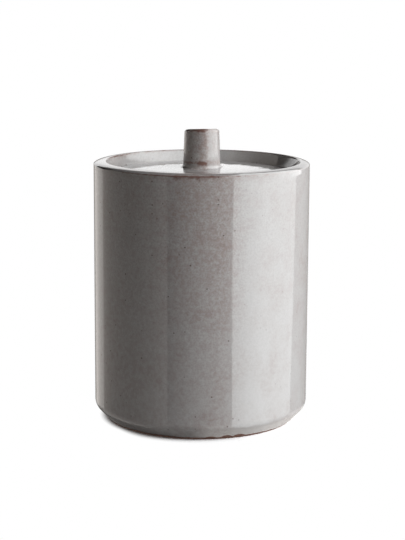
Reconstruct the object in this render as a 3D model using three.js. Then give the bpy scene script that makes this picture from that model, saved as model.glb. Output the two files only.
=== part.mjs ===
// A glazed ceramic canister: a straight cylinder on a bevelled foot, with a domed lid sunk into its mouth.
// Millimetres, +Z up. The origin is at the centre of the foot, on the surface that the canister stands on.
import * as THREE from "three";

// Jar wall and rim
const JAR_DIAMETER = 120.8;
const RIM_HEIGHT = 145.1;
const WALL_THICKNESS = 7.8;
const RIM_FALL = 1.2;
const RIM_OUTER_ROUND = 1.7;
const RIM_INNER_ROUND = 0.8;
const MOUTH_FLARE = 1.2;
const FLARE_HEIGHT = 7;
const FLOOR_FILLET = 4;
const FILLET_EDGE = 0.4;

// Bottom slab and foot
const BASE_THICKNESS = 9.5;
const BEVEL_HEIGHT = 8;
const BEVEL_INSET = 7.5;
const BEVEL_ROUND = 3;
const FOOT_RING_WIDTH = 7;
const FOOT_RECESS_DEPTH = 1.2;
const FOOT_RECESS_SLOPE = 1.5;

// Ledge inside the mouth
const SEAT_LEDGE = 5.4;
const SEAT_THICKNESS = 5;
const SEAT_ROUND = 1.2;
const SLIP_JOINT = 0.3;

// Lid
const LID_SINK = 6.3;
const LID_EDGE_THICKNESS = 5;
const LID_RISE = 2.5;
const LID_CLEARANCE = 0.7;
const LID_TOP_ROUND = 2;
const LID_BOTTOM_ROUND = 1;
const LID_REST_WIDTH = 4.6;
const LID_HOLLOW_DEPTH = 1.5;
const LID_HOLLOW_SLOPE = 2;

// Knob
const KNOB_HEIGHT = 21.1;
const KNOB_TOP_DIAMETER = 19.7;
const KNOB_FOOT_DIAMETER = 20.9;
const KNOB_TOP_ROUND = 1.3;
const KNOB_TOP_RISE_TO_FRONT = 2.1;
const KNOB_TOP_RISE_TO_RIGHT = 0.3;
const KNOB_FOOT_FILLET = 1.7;
const KNOB_PAD_MARGIN = 0.6;

// Fineness of the turned surfaces
const JAR_SIDES = 72;
const KNOB_SIDES = 48;
const CURVE_STEPS = 2;
const DOME_STEPS = 6;

// Places that several pieces share
const JAR_RADIUS = JAR_DIAMETER / 2;
const MOUTH_RADIUS = JAR_RADIUS - WALL_THICKNESS;
const SEAT_TOP = RIM_HEIGHT - LID_SINK - LID_EDGE_THICKNESS;
const SEAT_INNER_RADIUS = MOUTH_RADIUS - SEAT_LEDGE;
const LID_RADIUS = MOUTH_RADIUS - LID_CLEARANCE;
const LID_CROWN = RIM_HEIGHT - LID_SINK + LID_RISE;
const KNOB_FLARE_RADIUS = KNOB_FOOT_DIAMETER / 2 + KNOB_FOOT_FILLET;

const GLAZE = { color: 0x9d9893, roughness: 0.2, metalness: 0 };
const BARE_CLAY = { color: 0x9a5a44, roughness: 0.85, metalness: 0 };

// Adds a tangent arc of the given radius to a path, round the corner between the points before and after it.
function roundCorner(path, before, corner, after, radius) {
  const back = before.clone().sub(corner).normalize();
  const ahead = after.clone().sub(corner).normalize();
  const halfAngle = Math.acos(back.dot(ahead)) / 2;
  const middle = back.clone().add(ahead).normalize();
  const centre = corner.clone().addScaledVector(middle, radius / Math.sin(halfAngle));
  const tangentLength = radius / Math.tan(halfAngle);
  const from = corner.clone().addScaledVector(back, tangentLength).sub(centre);
  const to = corner.clone().addScaledVector(ahead, tangentLength).sub(centre);
  const clockwise = back.cross(ahead) > 0;
  path.absarc(centre.x, centre.y, radius, from.angle(), to.angle(), clockwise);
}

// An outline through corners of [radius, height, rounding], in order up the outside and down the inside.
// The first two corners and the last one stay sharp.
function outlineOf(corners) {
  const points = corners.map(([radius, height]) => new THREE.Vector2(radius, height));
  const path = new THREE.Path();
  path.moveTo(points[0].x, points[0].y);
  for (let i = 1; i < points.length; i++) {
    const rounding = corners[i][2] ?? 0;
    if (rounding > 0) roundCorner(path, points[i - 1], points[i], points[i + 1], rounding);
    else path.lineTo(points[i].x, points[i].y);
  }
  return path.getPoints(CURVE_STEPS);
}

// Turns an outline about the vertical axis into a named solid.
function turned(name, outline, sides, finish) {
  const geometry = new THREE.LatheGeometry(outline, sides).rotateX(Math.PI / 2);
  const mesh = new THREE.Mesh(geometry, new THREE.MeshStandardMaterial(finish));
  mesh.name = name;
  return mesh;
}

// The cylinder stands on the slab and ends in the rim, which falls a little outwards from a crisp inner edge.
// The mouth flares below that edge. A fillet closes the inside corner above the floor.
function jarWall() {
  const rimWidth = WALL_THICKNESS - MOUTH_FLARE;
  const outerRound = Math.min(RIM_OUTER_ROUND, rimWidth / 3);
  const innerRound = Math.min(RIM_INNER_ROUND, rimWidth / 3);
  const filletRadius = MOUTH_RADIUS - FLOOR_FILLET;
  const start = [filletRadius, BASE_THICKNESS];
  const corners = [
    start,
    [JAR_RADIUS, BASE_THICKNESS],
    [JAR_RADIUS, RIM_HEIGHT - RIM_FALL, outerRound],
    [MOUTH_RADIUS + MOUTH_FLARE, RIM_HEIGHT, innerRound],
    [MOUTH_RADIUS, RIM_HEIGHT - FLARE_HEIGHT],
    [MOUTH_RADIUS, BASE_THICKNESS + FILLET_EDGE, FLOOR_FILLET],
    [filletRadius, BASE_THICKNESS + FILLET_EDGE],
    start,
  ];
  return turned("jar_wall", outlineOf(corners), JAR_SIDES, GLAZE);
}

// The slab closes the bottom. Its bevel lifts the wall off the table, and a shallow recess leaves a foot ring.
function jarBase() {
  const footRadius = JAR_RADIUS - BEVEL_INSET;
  const recessRadius = footRadius - FOOT_RING_WIDTH;
  const corners = [
    [0, FOOT_RECESS_DEPTH],
    [recessRadius - FOOT_RECESS_SLOPE, FOOT_RECESS_DEPTH],
    [recessRadius, 0],
    [footRadius, 0],
    [JAR_RADIUS, BEVEL_HEIGHT, BEVEL_ROUND],
    [JAR_RADIUS, BASE_THICKNESS],
    [0, BASE_THICKNESS],
  ];
  return turned("jar_base", outlineOf(corners), JAR_SIDES, BARE_CLAY);
}

// The ledge is a ring luted to the wall. Its underside tapers back, so that contents slide past it.
function lidSeat() {
  const outerRadius = MOUTH_RADIUS - SLIP_JOINT;
  const start = [outerRadius, SEAT_TOP - SEAT_THICKNESS - SEAT_LEDGE];
  const corners = [
    start,
    [outerRadius, SEAT_TOP],
    [SEAT_INNER_RADIUS, SEAT_TOP, SEAT_ROUND],
    [SEAT_INNER_RADIUS, SEAT_TOP - SEAT_THICKNESS, SEAT_ROUND],
    start,
  ];
  return turned("lid_seat", outlineOf(corners), JAR_SIDES, BARE_CLAY);
}

// The lid is a disc with a low dome and a flat pad in the middle for the knob. It rests on the rim of its hollow.
function lidPlate() {
  const edgeTop = SEAT_TOP + LID_EDGE_THICKNESS;
  const hollowRadius = LID_RADIUS - LID_REST_WIDTH;
  const padRadius = KNOB_FLARE_RADIUS + KNOB_PAD_MARGIN;
  const domeFoot = LID_RADIUS - LID_TOP_ROUND;
  const edge = outlineOf([
    [0, SEAT_TOP + LID_HOLLOW_DEPTH],
    [hollowRadius - LID_HOLLOW_SLOPE, SEAT_TOP + LID_HOLLOW_DEPTH],
    [hollowRadius, SEAT_TOP],
    [LID_RADIUS, SEAT_TOP, LID_BOTTOM_ROUND],
    [LID_RADIUS, edgeTop, LID_TOP_ROUND],
    [domeFoot, edgeTop],
  ]);
  const dome = new THREE.QuadraticBezierCurve(
    new THREE.Vector2(domeFoot, edgeTop),
    new THREE.Vector2((domeFoot + padRadius) / 2, LID_CROWN),
    new THREE.Vector2(padRadius, LID_CROWN),
  );
  const outline = [...edge, ...dome.getPoints(DOME_STEPS).slice(1), new THREE.Vector2(0, LID_CROWN)];
  return turned("lid_plate", outline, JAR_SIDES, GLAZE);
}

// Slants the upper end of an upright peg, and less so the lower down: its front (-Y) and right (+X) stand higher.
function slantTop(mesh, foot, height) {
  const frontSlope = KNOB_TOP_RISE_TO_FRONT / KNOB_TOP_DIAMETER;
  const rightSlope = KNOB_TOP_RISE_TO_RIGHT / KNOB_TOP_DIAMETER;
  const place = mesh.geometry.getAttribute("position");
  for (let i = 0; i < place.count; i++) {
    const share = Math.max(0, (place.getZ(i) - foot) / height);
    const rise = rightSlope * place.getX(i) - frontSlope * place.getY(i);
    place.setZ(i, place.getZ(i) + share * rise);
  }
  return mesh;
}

// The knob is a short peg that widens a little downwards and flares out where it is luted to the lid.
function lidKnob() {
  const top = LID_CROWN + KNOB_HEIGHT;
  const corners = [
    [0, LID_CROWN],
    [KNOB_FLARE_RADIUS, LID_CROWN],
    [KNOB_FLARE_RADIUS, LID_CROWN + FILLET_EDGE],
    [KNOB_FOOT_DIAMETER / 2, LID_CROWN + FILLET_EDGE, KNOB_FOOT_FILLET],
    [KNOB_TOP_DIAMETER / 2, top, KNOB_TOP_ROUND],
    [0, top],
  ];
  const peg = turned("lid_knob", outlineOf(corners), KNOB_SIDES, GLAZE);
  return slantTop(peg, LID_CROWN + FILLET_EDGE, KNOB_HEIGHT - FILLET_EDGE);
}

const canister = new THREE.Group();
canister.add(jarWall(), jarBase(), lidSeat(), lidPlate(), lidKnob());

export default canister;
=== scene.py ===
# %% [markdown]
# A lidded stoneware canister
#
# The canister is a straight jar of glazed clay on a bevelled foot. A low domed lid with a peg knob sits
# down inside its mouth. The frame gives the five solids at their real size. This lesson replaces each of
# them by a finer turned surface with the small unevenness of handmade pottery, and then works out the
# glaze.

import math

import bpy
import numpy as np
from mathutils import Matrix, Vector


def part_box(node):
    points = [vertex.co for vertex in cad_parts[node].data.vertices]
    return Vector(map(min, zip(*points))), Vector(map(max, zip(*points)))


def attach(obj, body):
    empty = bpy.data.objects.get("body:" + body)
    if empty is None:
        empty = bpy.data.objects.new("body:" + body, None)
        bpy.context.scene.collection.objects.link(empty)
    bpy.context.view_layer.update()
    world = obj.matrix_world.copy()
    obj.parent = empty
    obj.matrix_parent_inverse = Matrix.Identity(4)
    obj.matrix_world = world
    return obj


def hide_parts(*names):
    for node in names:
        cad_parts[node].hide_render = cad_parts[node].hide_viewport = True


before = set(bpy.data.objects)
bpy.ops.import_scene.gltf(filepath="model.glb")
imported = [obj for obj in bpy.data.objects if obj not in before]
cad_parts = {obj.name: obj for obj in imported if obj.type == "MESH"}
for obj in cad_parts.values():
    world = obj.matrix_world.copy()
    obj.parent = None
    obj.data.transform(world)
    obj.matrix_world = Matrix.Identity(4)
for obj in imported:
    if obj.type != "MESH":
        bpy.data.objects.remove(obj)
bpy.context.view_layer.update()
MM = 0.001

# %% [markdown]
# Sizes that two pieces share could be typed in again, but a typing slip would leave a gap between them. So
# they are read off the frame, and the dressed pieces seat where the solids do. A turned solid's largest x
# is its radius, and its largest z is its top.

# %% Read the shared sizes
JAR_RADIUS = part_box("jar_wall")[1].x
RIM_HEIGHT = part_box("jar_wall")[1].z
FLOOR_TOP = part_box("jar_base")[1].z
SEAT_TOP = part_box("lid_seat")[1].z
SEAT_OUTER_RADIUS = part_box("lid_seat")[1].x
LID_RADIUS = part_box("lid_plate")[1].x
LID_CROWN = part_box("lid_plate")[1].z
KNOB_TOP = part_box("lid_knob")[1].z
KNOB_FLARE_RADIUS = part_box("lid_knob")[1].x
print("Jar radius", round(JAR_RADIUS / MM, 2), "mm, rim at", round(RIM_HEIGHT / MM, 2), "mm")

# %% [markdown]
# The photograph was taken with a long lens from a little above the lid. A camera could be pushed about by
# hand until the picture fits. Here its place, turns and lens are numbers, because they were fitted to the
# outlines of the rim, the wall and the foot. A camera's own axes are x to the right, y up and -z forward,
# so the turns are made in that order: roll about its own axis, tip down from the horizon, then the small
# swing to the side.

# %% Place the camera
CAMERA_PLACE = Vector((0, -0.8658, 0.2495))
CAMERA_TIP_DOWN = math.radians(10.89)
CAMERA_SWING = math.radians(-0.05)
CAMERA_ROLL = math.radians(0.30)
LENS_LENGTH = 104.47

camera_data = bpy.data.cameras.new("camera")
camera_data.lens = LENS_LENGTH
camera = bpy.data.objects.new("camera", camera_data)
bpy.context.scene.collection.objects.link(camera)
swing_turn = Matrix.Rotation(CAMERA_SWING, 4, "Z")
tip_turn = Matrix.Rotation(math.pi / 2 - CAMERA_TIP_DOWN, 4, "X")
roll_turn = Matrix.Rotation(CAMERA_ROLL, 4, "Z")
camera.matrix_world = Matrix.Translation(CAMERA_PLACE) @ swing_turn @ tip_turn @ roll_turn
bpy.context.scene.camera = camera
bpy.context.scene.view_settings.view_transform = "Standard"
print("Camera", round(CAMERA_PLACE.length, 3), "m from the foot, lens", LENS_LENGTH, "mm")

# %% [markdown]
# Materials are graphs of nodes. They could be drawn in the node editor, but then nobody could read them
# here. A few small helpers keep the graphs short: they add a node and fill its sockets, do one step of
# arithmetic, stretch a number from one range to another, follow a line through stops, and mix two numbers
# or colours.

# %% Helpers for node graphs
MIX_FACTOR = 0
MIX_FIRST_COLOUR = 6
MIX_SECOND_COLOUR = 7
MIX_COLOUR_RESULT = 2


def add_node(tree, kind, sockets=None, **settings):
    """Adds a node, sets its properties and fills its sockets: a socket is linked, any other value is set."""
    made = tree.nodes.new(kind)
    for name, value in settings.items():
        setattr(made, name, value)
    for key, value in (sockets or {}).items():
        if isinstance(value, bpy.types.NodeSocket):
            tree.links.new(value, made.inputs[key])
        else:
            made.inputs[key].default_value = value
    return made


def calculate(tree, operation, first, second):
    """One step of arithmetic on two numbers or sockets."""
    return add_node(tree, "ShaderNodeMath", {0: first, 1: second}, operation=operation).outputs["Value"]


def stretch(tree, value, low, high, to_low=0.0, to_high=1.0, smooth=False):
    """Maps value from low...high to to_low...to_high, straight or in an S curve, held at the ends."""
    curve = "SMOOTHSTEP" if smooth else "LINEAR"
    sockets = {"Value": value, "From Min": low, "From Max": high, "To Min": to_low, "To Max": to_high}
    return add_node(tree, "ShaderNodeMapRange", sockets, interpolation_type=curve).outputs["Result"]


def mix_levels(tree, share, first, second):
    """Goes from the first number at share 0 to the second at share 1, in a straight line."""
    return stretch(tree, share, 0.0, 1.0, first, second)


def mix_colours(tree, share, first, second):
    """Goes from the first colour at share 0 to the second at share 1.

    A Mix node has sockets for each kind of data under the same names, so those for colours go by number."""
    sockets = {MIX_FACTOR: share, MIX_FIRST_COLOUR: first, MIX_SECOND_COLOUR: second}
    return add_node(tree, "ShaderNodeMix", sockets, data_type="RGBA").outputs[MIX_COLOUR_RESULT]


def follow(tree, value, stops):
    """A number that follows value through (value, result) stops in straight lines, and is held at the ends.

    It is the first result plus the rise of each stretch between two stops."""
    total = stops[0][1]
    for (start, from_level), (end, to_level) in zip(stops[:-1], stops[1:]):
        rise = stretch(tree, value, start, end, 0.0, to_level - from_level)
        total = calculate(tree, "ADD", total, rise)
    return total


def empty_material(name):
    """A new node material with only an output node, and its tree and output."""
    material = bpy.data.materials.new(name)
    material.use_nodes = True
    tree = material.node_tree
    tree.nodes.clear()
    return material, tree, add_node(tree, "ShaderNodeOutputMaterial")


print("Node helpers ready")

# %% [markdown]
# Every piece is a surface on a grid of points: one direction follows an outline, the other goes round. A
# mesh needs the grid's points as one list and its cells as lists of four corner numbers. A loop over the
# points would be slow and long. Working on whole arrays makes both lists at once.

# %% Helpers for surfaces on a grid
def mesh_object(name, points, faces, material):
    """Puts points and faces into a smooth-shaded mesh object at the origin."""
    mesh = bpy.data.meshes.new(name)
    mesh.from_pydata(points.reshape(-1, 3).tolist(), [], faces)
    mesh.polygons.foreach_set("use_smooth", np.ones(len(mesh.polygons), dtype=bool))
    mesh.materials.append(material)
    mesh.update()
    made = bpy.data.objects.new(name, mesh)
    bpy.context.scene.collection.objects.link(made)
    return made


def grid_cells(index):
    """Four corners for each cell of a grid of point numbers, in the order that turns the face outwards."""
    cells = [index[:-1, :-1], index[:-1, 1:], index[1:, 1:], index[1:, :-1]]
    return np.stack(cells, axis=-1).reshape(-1, 4)


print("Grid helpers ready")

# %% [markdown]
# The table is a plain pale floor. The camera should see it white, yet it has to keep the soft shadow that
# hugs the foot. A lamp bright enough to bleach the table would bleach the jar too. So camera rays meet a
# white glow, which near the foot gives way to a matt surface that takes the shadow. Light that bounces
# sees only a matt floor. Glossy rays pass through it, so that no horizon line crosses the glaze: what they
# meet below the table is set with the rest of the surroundings.

# %% Floor
FLOOR_RADIUS = 1.5
FLOOR_DROP = 0.05 * MM
FLOOR_SIDES = 96
FLOOR_MATT = 0.50
FLOOR_OPEN_LIGHT = 0.85
SHADOW_SHARE = 0.98
SHADOW_START_RADIUS = 0.0525
SHADOW_SIDE_RADIUS = 0.0580
SHADOW_FRONT_RADIUS = 0.0612
SHADOW_SIDE_TO_FRONT = (-0.6, -0.9)


def floor_material():
    """Matt for bouncing light, and for the camera a white glow that yields to the matt round the foot.

    The matt share of white is s near the foot and 0 away from it. It reaches further in front of the jar
    than at its sides, by y / radius. The matt colour s / open light and the glow 1 - s add up to white where
    nothing shades the floor."""
    material, tree, output = empty_material("pale_floor")
    place = add_node(tree, "ShaderNodeTexCoord").outputs["Object"]
    radius = add_node(tree, "ShaderNodeVectorMath", {0: place}, operation="LENGTH").outputs["Value"]
    ray = add_node(tree, "ShaderNodeLightPath")
    seen = ray.outputs["Is Camera Ray"]
    depth = add_node(tree, "ShaderNodeSeparateXYZ", {0: place}).outputs["Y"]
    facing = calculate(tree, "DIVIDE", depth, radius)
    reach = (SHADOW_SIDE_RADIUS, SHADOW_FRONT_RADIUS)
    end = stretch(tree, facing, *SHADOW_SIDE_TO_FRONT, *reach, smooth=True)
    share = stretch(tree, radius, SHADOW_START_RADIUS, end, SHADOW_SHARE, 0.0, smooth=True)
    seen_matt = calculate(tree, "DIVIDE", share, FLOOR_OPEN_LIGHT)
    matt_level = mix_levels(tree, seen, FLOOR_MATT, seen_matt)
    matt = add_node(tree, "ShaderNodeBsdfDiffuse", {"Color": matt_level})
    glow = calculate(tree, "MULTIPLY", calculate(tree, "SUBTRACT", 1.0, share), seen)
    light = add_node(tree, "ShaderNodeEmission", {"Strength": glow})
    both = add_node(tree, "ShaderNodeAddShader", {0: matt.outputs[0], 1: light.outputs[0]})
    clear = add_node(tree, "ShaderNodeBsdfTransparent")
    sockets = {0: ray.outputs["Is Glossy Ray"], 1: both.outputs[0], 2: clear.outputs[0]}
    mixed = add_node(tree, "ShaderNodeMixShader", sockets)
    tree.links.new(mixed.outputs[0], output.inputs["Surface"])
    return material


floor_angle = np.linspace(0, 2 * np.pi, FLOOR_SIDES, endpoint=False)
floor_x = FLOOR_RADIUS * np.cos(floor_angle)
floor_y = FLOOR_RADIUS * np.sin(floor_angle)
floor_points = np.stack([floor_x, floor_y, np.full(FLOOR_SIDES, -FLOOR_DROP)], axis=-1)
floor = mesh_object("floor", floor_points, [list(range(FLOOR_SIDES))], floor_material())
print("Floor", 2 * FLOOR_RADIUS, "m across")

# %% [markdown]
# A glossy glaze shows its surroundings, so the studio is built as things to be mirrored as well as a lamp.
# Behind the jar is a white sweep, in front of it a dim room, and overhead a dark ceiling. They could be
# modelled as walls. Here they are the world, whose brightness goes by direction, because each level can
# then be set by itself: x runs to the right, y to the back and z up, each from -1 to 1. A list of stops
# gives levels along x. A pair is a span in which one value gives way to the next, or those two values.

# %% World: sweep, room and ceiling
SWEEP_STOPS = [
    (-0.85, 1.34),
    (-0.42, 1.34),
    (-0.33, 0.72),
    (-0.19, 0.24),
    (0.0, 0.1),
    (0.3, 0.3),
    (0.5, 0.2),
    (0.85, 0.1),
]
SWEEP_UPPER_STOPS = [(-0.95, 0.60), (-0.80, 1.52), (0.03, 1.52), (0.09, 1.10)]
SWEEP_UPPER_RISE = (0.0, 0.11)
ROOM_TO_SWEEP = (-0.2, 0.2)
ROOM_LEVEL = 0.02
CEILING_SIDES = (-0.40, -0.12)
CEILING_EDGES = (0.18, 0.33)
CEILING_FADE = 0.07
CEILING_LEVEL = 0.0

world = bpy.data.worlds.new("studio")
bpy.context.scene.world = world
world.use_nodes = True
sky = world.node_tree
sky.nodes.clear()
direction = add_node(sky, "ShaderNodeTexCoord").outputs["Generated"]
heading = add_node(sky, "ShaderNodeSeparateXYZ", {0: direction}).outputs
rising = stretch(sky, heading["Z"], *SWEEP_UPPER_RISE, smooth=True)
lower_sweep = follow(sky, heading["X"], SWEEP_STOPS)
upper_sweep = follow(sky, heading["X"], SWEEP_UPPER_STOPS)
sweep_level = mix_levels(sky, rising, lower_sweep, upper_sweep)
room_level = stretch(sky, heading["Y"], *ROOM_TO_SWEEP, ROOM_LEVEL, sweep_level, smooth=True)
ceiling_edge = stretch(sky, heading["X"], *CEILING_SIDES, *CEILING_EDGES)
above_edge = calculate(sky, "SUBTRACT", heading["Z"], ceiling_edge)
overhead = stretch(sky, above_edge, 0.0, CEILING_FADE, smooth=True)
upper_level = mix_levels(sky, overhead, room_level, CEILING_LEVEL)
print("World: sweep through", len(SWEEP_STOPS), "stops, room at", ROOM_LEVEL)

# %% [markdown]
# Steeply below, where only the bevel looks, the mirrored table is dark on the left and lit on the right. A
# real table top would do this through the lamp's own shadows, but would also put a horizon on the wall.
# The camera itself sees plain white, at strength 1.

# %% World: table, and white for the camera
TABLE_LEFT_SIDES = (-0.50, -0.38)
TABLE_LEFT_LEVELS = (0.70, 0.16)
TABLE_RIGHT_DEPTHS = (-0.45, -0.70)
TABLE_RIGHT_LEVELS = (0.85, 1.45)
TABLE_LEFT_TO_RIGHT = (-0.10, 0.14)
TABLE_EDGE = (-0.295, -0.345)
SWEEP_WARM = (1.055, 1.0, 0.95, 1)
PLAIN_WHITE = (1, 1, 1, 1)

table_left = stretch(sky, heading["X"], *TABLE_LEFT_SIDES, *TABLE_LEFT_LEVELS)
table_right = stretch(sky, heading["Z"], *TABLE_RIGHT_DEPTHS, *TABLE_RIGHT_LEVELS)
table_level = stretch(sky, heading["X"], *TABLE_LEFT_TO_RIGHT, table_left, table_right, smooth=True)
below = stretch(sky, heading["Z"], *TABLE_EDGE, smooth=True)
studio_level = mix_levels(sky, below, upper_level, table_level)
studio_tint = mix_colours(sky, rising, SWEEP_WARM, PLAIN_WHITE)
studio_light = add_node(sky, "ShaderNodeBackground", {"Color": studio_tint, "Strength": studio_level})
camera_light = add_node(sky, "ShaderNodeBackground", {"Color": PLAIN_WHITE})
camera_ray = add_node(sky, "ShaderNodeLightPath").outputs["Is Camera Ray"]
sky_sockets = {0: camera_ray, 1: studio_light.outputs[0], 2: camera_light.outputs[0]}
sky_mix = add_node(sky, "ShaderNodeMixShader", sky_sockets)
add_node(sky, "ShaderNodeOutputWorld", {"Surface": sky_mix.outputs[0]})
print("World:", len(sky.nodes), "nodes")

# %% [markdown]
# The bright upright stripe on the jar is the mirror image of a soft box that stands close on the right,
# and the dark left side mirrors a grey card. An area lamp could be mirrored too, but its brightness is
# even and its outline a plain rectangle. So each is a card that only glossy rays meet, with a brightness
# that changes from its front edge to its back edge.

# %% Helpers for cards
HIDDEN_RAYS = ("camera", "diffuse", "transmission", "volume_scatter", "shadow")


def card_material(name, stops, colour):
    """A glow whose strength follows the y coordinate through (y, strength) stops, in straight lines."""
    material, tree, output = empty_material(name)
    place = add_node(tree, "ShaderNodeTexCoord").outputs["Object"]
    depth = add_node(tree, "ShaderNodeSeparateXYZ", {0: place}).outputs["Y"]
    strength = follow(tree, depth, stops)
    light = add_node(tree, "ShaderNodeEmission", {"Color": colour, "Strength": strength})
    tree.links.new(light.outputs[0], output.inputs["Surface"])
    material.cycles.emission_sampling = "NONE"
    return material


def mirrored_card(name, corners, stops, colour):
    """A flat glowing card through corners of (x, y, z), kept out of every kind of ray except glossy ones."""
    glow = card_material(name + "_glow", stops, colour)
    card = mesh_object(name, np.array(corners), [list(range(len(corners)))], glow)
    for kind in HIDDEN_RAYS:
        setattr(card, "visible_" + kind, False)


def upright(x, corners):
    """Corners of (y, z) in the upright plane at x."""
    return [(x, y, z) for y, z in corners]


def rectangle(front, back, low, high):
    """Corners of (y, z) of a rectangle, from its upper front corner down and round."""
    return [(front, high), (front, low), (back, low), (back, high)]


print("Card helpers ready")

# %% [markdown]
# Walls that slope differently mirror different heights of the soft box: the jar's wall its lower part, the
# knob the middle and the flared mouth the upper part. It is stacked from three cards, so that each can
# have the level and the back edge that the photograph shows there. The outline of the lowest one leans, as
# the edges of the stripe do. A card overhead lights up the right side of the rim's crown.

# %% Soft box
SOFT_BOX_X = 0.222
SOFT_BOX_COLOUR = (0.97, 1.0, 1.0, 1)
SOFT_BOX_SPLIT_LOW = 0.116
SOFT_BOX_SPLIT_HIGH = 0.162
SOFT_BOX_TOP = 0.50
SOFT_BOX_FRONT = -0.365
SOFT_BOX_MIDDLE_BACK = 0.118
SOFT_BOX_UPPER_FRONT = -0.58
SOFT_BOX_UPPER_BACK = 0.149
SOFT_BOX_LOWER = [
    (SOFT_BOX_FRONT, SOFT_BOX_SPLIT_LOW),
    (SOFT_BOX_FRONT, 0.095),
    (-0.378, 0.025),
    (-0.357, -0.09),
    (-0.357, -0.36),
    (-0.05, -0.31),
    (0.036, -0.22),
    (0.039, -0.04),
    (0.052, 0.025),
    (0.061, 0.098),
    (0.064, SOFT_BOX_SPLIT_LOW),
]
SOFT_BOX_LOWER_STOPS = [(-0.37, 3.1), (-0.25, 3.3), (-0.12, 3.6), (0.0, 1.9), (0.06, 1.5)]
SOFT_BOX_MIDDLE_STOPS = [(SOFT_BOX_FRONT, 3.0), (-0.1, 3.0), (SOFT_BOX_MIDDLE_BACK, 2.8)]
SOFT_BOX_UPPER_STOPS = [(SOFT_BOX_UPPER_FRONT, 4.2), (SOFT_BOX_UPPER_BACK, 4.0)]
OVERHEAD_CORNERS = [(0.075, -0.3), (0.6, -0.3), (0.6, 0.55), (0.075, 0.55)]
OVERHEAD_STOPS = [(-0.3, 2.7), (0.55, 2.8)]

box_middle = rectangle(SOFT_BOX_FRONT, SOFT_BOX_MIDDLE_BACK, SOFT_BOX_SPLIT_LOW, SOFT_BOX_SPLIT_HIGH)
box_upper = rectangle(SOFT_BOX_UPPER_FRONT, SOFT_BOX_UPPER_BACK, SOFT_BOX_SPLIT_HIGH, SOFT_BOX_TOP)
bright_cards = {
    "soft_box": (upright(SOFT_BOX_X, SOFT_BOX_LOWER), SOFT_BOX_LOWER_STOPS),
    "soft_box_middle": (upright(SOFT_BOX_X, box_middle), SOFT_BOX_MIDDLE_STOPS),
    "soft_box_upper": (upright(SOFT_BOX_X, box_upper), SOFT_BOX_UPPER_STOPS),
    "overhead_card": ([(x, y, SOFT_BOX_TOP) for x, y in OVERHEAD_CORNERS], OVERHEAD_STOPS),
}
for card_name, (card_corners, card_stops) in bright_cards.items():
    mirrored_card(card_name, card_corners, card_stops, SOFT_BOX_COLOUR)
print("Soft box and overhead card:", len(bright_cards), "cards")

# %% [markdown]
# The grey card stands on the left and is split at one height, because the jar's wall mirrors its lower
# part and the right end of the mouth its upper part.

# %% Grey card
GREY_CARD_X = -0.245
GREY_CARD_COLOUR = (1.09, 1.0, 0.93, 1)
GREY_CARD_FRONT = -0.374
GREY_CARD_BACK = 0.130
GREY_CARD_LOW = -0.17
GREY_CARD_SPLIT = SOFT_BOX_SPLIT_HIGH
GREY_CARD_HIGH = 0.42
GREY_CARD_STOPS = [
    (GREY_CARD_FRONT, 0.57),
    (-0.10, 0.62),
    (0.01, 0.63),
    (0.05, 0.66),
    (GREY_CARD_BACK, 0.84),
]
GREY_CARD_UPPER_STOPS = [(GREY_CARD_FRONT, 0.75), (GREY_CARD_BACK, 0.85)]

grey_lower = rectangle(GREY_CARD_FRONT, GREY_CARD_BACK, GREY_CARD_LOW, GREY_CARD_SPLIT)
grey_upper = rectangle(GREY_CARD_FRONT, GREY_CARD_BACK, GREY_CARD_SPLIT, GREY_CARD_HIGH)
mirrored_card("grey_card", upright(GREY_CARD_X, grey_lower), GREY_CARD_STOPS, GREY_CARD_COLOUR)
mirrored_card("grey_card_upper", upright(GREY_CARD_X, grey_upper), GREY_CARD_UPPER_STOPS, GREY_CARD_COLOUR)
print("Grey card", round(GREY_CARD_BACK - GREY_CARD_FRONT, 3), "m long")

# %% [markdown]
# Besides the world, one area lamp on the soft box's side lights the coloured body of the glaze. The glaze
# doesn't mirror the lamp, because the cards already stand for what is mirrored. So the brightness of the
# stripe and the shading of the body can be set apart.

# %% Key lamp
KEY_AZIMUTH = math.radians(67)
KEY_DISTANCE = 0.70
KEY_HEIGHT = 0.41
KEY_WIDTH = 0.62
KEY_TALL = 0.24
KEY_RADIANCE = 18.3
KEY_COLOUR = (0.985, 1.0, 1.02)
KEY_AIM = Vector((0, 0, 0.10))

# A flat lamp of even radiance L and area A gives the power pi * L * A.
key_data = bpy.data.lights.new("key_lamp", "AREA")
key_data.shape = "RECTANGLE"
key_data.size = KEY_WIDTH
key_data.size_y = KEY_TALL
key_data.energy = math.pi * KEY_RADIANCE * KEY_WIDTH * KEY_TALL
key_data.color = KEY_COLOUR
key_lamp = bpy.data.objects.new("key_lamp", key_data)
bpy.context.scene.collection.objects.link(key_lamp)
key_lamp.location = (KEY_DISTANCE * math.sin(KEY_AZIMUTH), -KEY_DISTANCE * math.cos(KEY_AZIMUTH), KEY_HEIGHT)
key_lamp.rotation_euler = (KEY_AIM - key_lamp.location).to_track_quat("-Z", "Y").to_euler()
key_lamp.visible_camera = False
key_lamp.visible_glossy = False
print("Key lamp", round(key_data.energy, 3), "W")

# %% [markdown]
# A potter's outline is a chain of straight lines with rounded corners. A bevel modifier could round the
# corners of a turned solid, but every corner here has a radius of its own. So each corner is cut back on
# both sides, and the cut is bridged by an arc that meets both lines smoothly.

# %% Outlines
ARC_POINTS = 9
LINE_STEP = 2.0 * MM


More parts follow.
